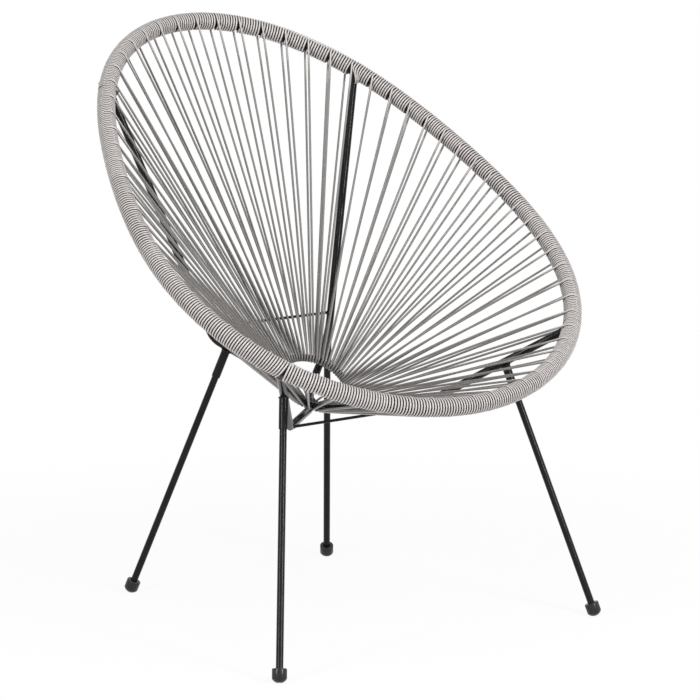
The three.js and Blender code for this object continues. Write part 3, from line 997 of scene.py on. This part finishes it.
cord_material, tree, shader = new_material("grey_cord_plastic")
run = node(tree, "ShaderNodeAttribute", attribute_name="cord_run")
stretched = node(tree, "ShaderNodeVectorMath", {0: run.outputs["Vector"], 1: CORD_STRETCH},
                 operation="MULTIPLY")
tone = placed_group(tree, mottle, {
    "Colour": (0.585, 0.552, 0.536, 1), "Second Colour": (0.500, 0.469, 0.455, 1),
    "Vector": stretched.outputs[0], "Scale": 1.6, "Amount": 0.7})
# Painted shade: a darker copy of the cord's grey, used only for the free strands.
darker = placed_group(tree, mottle, {
    "Colour": (0.200, 0.188, 0.181, 1), "Second Colour": (0.165, 0.154, 0.148, 1),
    "Vector": stretched.outputs[0], "Scale": 1.6, "Amount": 0.7})
lying_dust = placed_group(tree, dust, {"Amount": 0.10, "Scale": 70.0})
loose = node(tree, "ShaderNodeAttribute", attribute_name="cord_loose")
# Painted shade: the free strands take the darker grey, and the turns on the hoop take the lighter
# one.
strand_painted_shade = node(tree, "ShaderNodeMix", {"Factor": loose.outputs["Fac"],
                                          6: tone.outputs["Colour"], 7: darker.outputs["Colour"]},
                  data_type="RGBA")
# Painted shade: the flanks of each turn, where it lies against the next, go towards near black,
# strongly on the hoop and hardly at all on the strands.
round_cord = node(tree, "ShaderNodeSeparateXYZ", {0: run.outputs["Vector"]})
flank = node(tree, "ShaderNodeMath", {0: round_cord.outputs["Y"]}, operation="ABSOLUTE")
strongest_painted_shade = node(tree, "ShaderNodeMapRange", {"Value": loose.outputs["Fac"], "To Min": 0.90,
                                               "To Max": 0.15})
painted_crease_shade = node(tree, "ShaderNodeMapRange", {"Value": flank.outputs[0], "From Min": 0.98,
                                          "From Max": 0.40, "To Min": 0.0,
                                          "To Max": strongest_painted_shade.outputs[0]})
shaded = node(tree, "ShaderNodeMix", {"Factor": painted_crease_shade.outputs[0], 6: strand_painted_shade.outputs[2],
                                      7: (0.035, 0.031, 0.029, 1)}, data_type="RGBA")
tree.links.new(
    dusty_colour(tree, shaded.outputs[2], lying_dust.outputs["Mask"], (0.55, 0.53, 0.50, 1)),
    shader.inputs["Base Color"])
lines = placed_group(tree, grain_group, {
    "Vector": stretched.outputs[0], "Scale": 9.0, "Coarse Share": 0.35})
feel(tree, shader, lines, strength=0.25, specular=0.4,
     rough={"Value": lines.outputs["Height"], "From Min": 0.3, "From Max": 0.7,
            "To Min": 0.24, "To Max": 0.36})
print("cord material has", len(tree.nodes), "nodes")

# %% [markdown]
# ### Black powder coat
#
# Powder coat melts into a skin with a slight orange-peel ripple. It is not pure black: a very dark
# grey keeps detail in the shade. The same finish covers tubes, rods, sockets and weld beads,
# because a frame is coated after it is welded.

# %% Powder coat material
coat_material, tree, shader = new_material("black_powder_coat")
where = node(tree, "ShaderNodeTexCoord")
tone = placed_group(tree, mottle, {
    "Colour": (0.006, 0.006, 0.0063, 1), "Second Colour": (0.010, 0.010, 0.0104, 1),
    "Vector": where.outputs["Object"], "Scale": 35.0, "Amount": 0.8})
lying_dust = placed_group(tree, dust, {"Amount": 0.06, "Scale": 120.0})
tree.links.new(
    dusty_colour(tree, tone.outputs["Colour"], lying_dust.outputs["Mask"], (0.35, 0.34, 0.32, 1)),
    shader.inputs["Base Color"])
peel = placed_group(tree, grain_group, {
    "Vector": where.outputs["Object"], "Scale": 1400.0, "Coarse Share": 0.45})
feel(tree, shader, peel, strength=0.12, specular=0.15,
     rough={"Value": tone.outputs["Mask"], "To Min": 0.15, "To Max": 0.22})
print("coat material has", len(tree.nodes), "nodes")

# %% [markdown]
# ### Foot rubber
#
# The caps are moulded rubber: near black with a soft shine, mottled by a faint bloom, and scuffed
# low down where they meet the floor.

# %% Rubber material
rubber_material, tree, shader = new_material("cap_rubber")
where = node(tree, "ShaderNodeTexCoord")
surface = node(tree, "ShaderNodeNewGeometry")
tone = placed_group(tree, mottle, {
    "Colour": (0.010, 0.010, 0.010, 1), "Second Colour": (0.020, 0.0195, 0.019, 1),
    "Vector": where.outputs["Object"], "Scale": 160.0, "Amount": 0.6})
height = node(tree, "ShaderNodeSeparateXYZ", {0: surface.outputs["Position"]})
low = node(tree, "ShaderNodeMapRange",
           {"Value": height.outputs["Z"], "From Min": 0.006, "From Max": 0.0, "To Min": 0.0,
            "To Max": 0.35})
tree.links.new(
    dusty_colour(tree, tone.outputs["Colour"], low.outputs[0], (0.055, 0.052, 0.050, 1)),
    shader.inputs["Base Color"])
skin = placed_group(tree, grain_group, {
    "Vector": where.outputs["Object"], "Scale": 2200.0, "Coarse Share": 0.25})
feel(tree, shader, skin, strength=0.15, specular=0.3,
     rough={"Value": tone.outputs["Mask"], "To Min": 0.24, "To Max": 0.34})
print("rubber material has", len(tree.nodes), "nodes")

# %% Dress every piece and let it ride on the frame
finishes = {
    "wound_cord": (cord_material, "grey_cord"),
    "rubber_cap": (rubber_material, "foot_rubber"),
}
for piece in chair_pieces:
    material, slot = next(
        (finish for start, finish in finishes.items() if piece.name.startswith(start)),
        (coat_material, "black_coat"))
    piece.data.materials.append(material)
    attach(piece, "root")
print(len(chair_pieces), "pieces dressed")

# %% [markdown]
# ## Floor, light and sky
#
# A catalogue picture stands on white with hardly a shadow. A lit white floor would need so much
# light that the chair washes out, so the floor is pale where the chair's shadow falls and turns
# into plain white further out, where it only has to be a background. Two narrow upright lamps, one
# each side of the camera, draw the two thin highlights on legs and caps, and a square one overhead
# fills in.

# %% Floor
FLOOR_HALF = 40.0


def sight_rays(tree):
    """1 for rays that see the background: from the camera, mirrored, or through a material."""
    rays = node(tree, "ShaderNodeLightPath")
    direct = node(tree, "ShaderNodeMath", {0: rays.outputs["Is Camera Ray"],
                                           1: rays.outputs["Is Glossy Ray"]}, operation="MAXIMUM")
    both = node(tree, "ShaderNodeMath", {0: direct.outputs[0],
                                         1: rays.outputs["Is Transmission Ray"]},
                operation="MAXIMUM")
    return both.outputs[0]


floor_mesh = bpy.data.meshes.new("floor")
floor_mesh.from_pydata(
    [(-FLOOR_HALF, -FLOOR_HALF, 0), (FLOOR_HALF, -FLOOR_HALF, 0), (FLOOR_HALF, FLOOR_HALF, 0),
     (-FLOOR_HALF, FLOOR_HALF, 0)], [], [(0, 1, 2, 3)])
floor = bpy.data.objects.new("floor", floor_mesh)
bpy.context.scene.collection.objects.link(floor)

floor_material, tree, shader = new_material("pale_floor")
shader.inputs["Base Color"].default_value = (0.93, 0.93, 0.925, 1)
shader.inputs["Roughness"].default_value = 0.9
shader.inputs["Specular IOR Level"].default_value = 0.1
surface = node(tree, "ShaderNodeNewGeometry")
distance = node(tree, "ShaderNodeVectorMath", {0: surface.outputs["Position"]}, operation="LENGTH")
far = node(tree, "ShaderNodeMapRange",
           {"Value": distance.outputs["Value"], "From Min": 0.4, "From Max": 1.3,
            "To Min": 0.92, "To Max": 1.0}, interpolation_type="SMOOTHSTEP")
white_share = node(tree, "ShaderNodeMath", {0: far.outputs[0], 1: sight_rays(tree)},
                   operation="MULTIPLY")
white = node(tree, "ShaderNodeEmission", {"Color": (1, 1, 1, 1), "Strength": 1.0})
mixed = node(tree, "ShaderNodeMixShader",
             {0: white_share.outputs[0], 1: shader.outputs[0], 2: white.outputs[0]})
tree.links.new(mixed.outputs[0], tree.nodes["Material Output"].inputs["Surface"])
floor_mesh.materials.append(floor_material)
print("floor is", 2 * FLOOR_HALF, "m wide")


# %% Lamps and world
def add_lamp(name, place, aim, size_x, size_y, power):
    lamp_data = bpy.data.lights.new(name, "AREA")
    lamp_data.shape = "RECTANGLE"
    lamp_data.size, lamp_data.size_y = size_x, size_y
    lamp_data.energy = power
    lamp = bpy.data.objects.new(name, lamp_data)
    lamp.location = place
    lamp.rotation_mode = "QUATERNION"
    lamp.rotation_quaternion = (Vector(aim) - Vector(place)).to_track_quat("-Z", "Y")
    bpy.context.scene.collection.objects.link(lamp)


SEAT_MIDDLE = (0, 0, 0.45)
STRIP_WIDTH, STRIP_HEIGHT, SQUARE_SIDE = 0.35, 2.0, 1.5
add_lamp("top_softbox", (-0.3, -0.5, 2.9), SEAT_MIDDLE, SQUARE_SIDE, SQUARE_SIDE,
         power=30)
add_lamp("left_softbox", (-3.0, -0.6, 1.5), SEAT_MIDDLE, STRIP_WIDTH, STRIP_HEIGHT,
         power=55)
add_lamp("right_softbox", (0.5, -3.0, 1.5), SEAT_MIDDLE, STRIP_WIDTH, STRIP_HEIGHT,
         power=78)

world = bpy.data.worlds.new("studio")
bpy.context.scene.world = world
world.use_nodes = True
tree = world.node_tree
backdrop = tree.nodes["Background"]
level = node(tree, "ShaderNodeMapRange", {"Value": sight_rays(tree), "To Min": 0.2, "To Max": 1.0})
backdrop.inputs["Color"].default_value = (1, 1, 1, 1)
tree.links.new(level.outputs[0], backdrop.inputs["Strength"])
bpy.context.scene.view_settings.view_transform = "Standard"
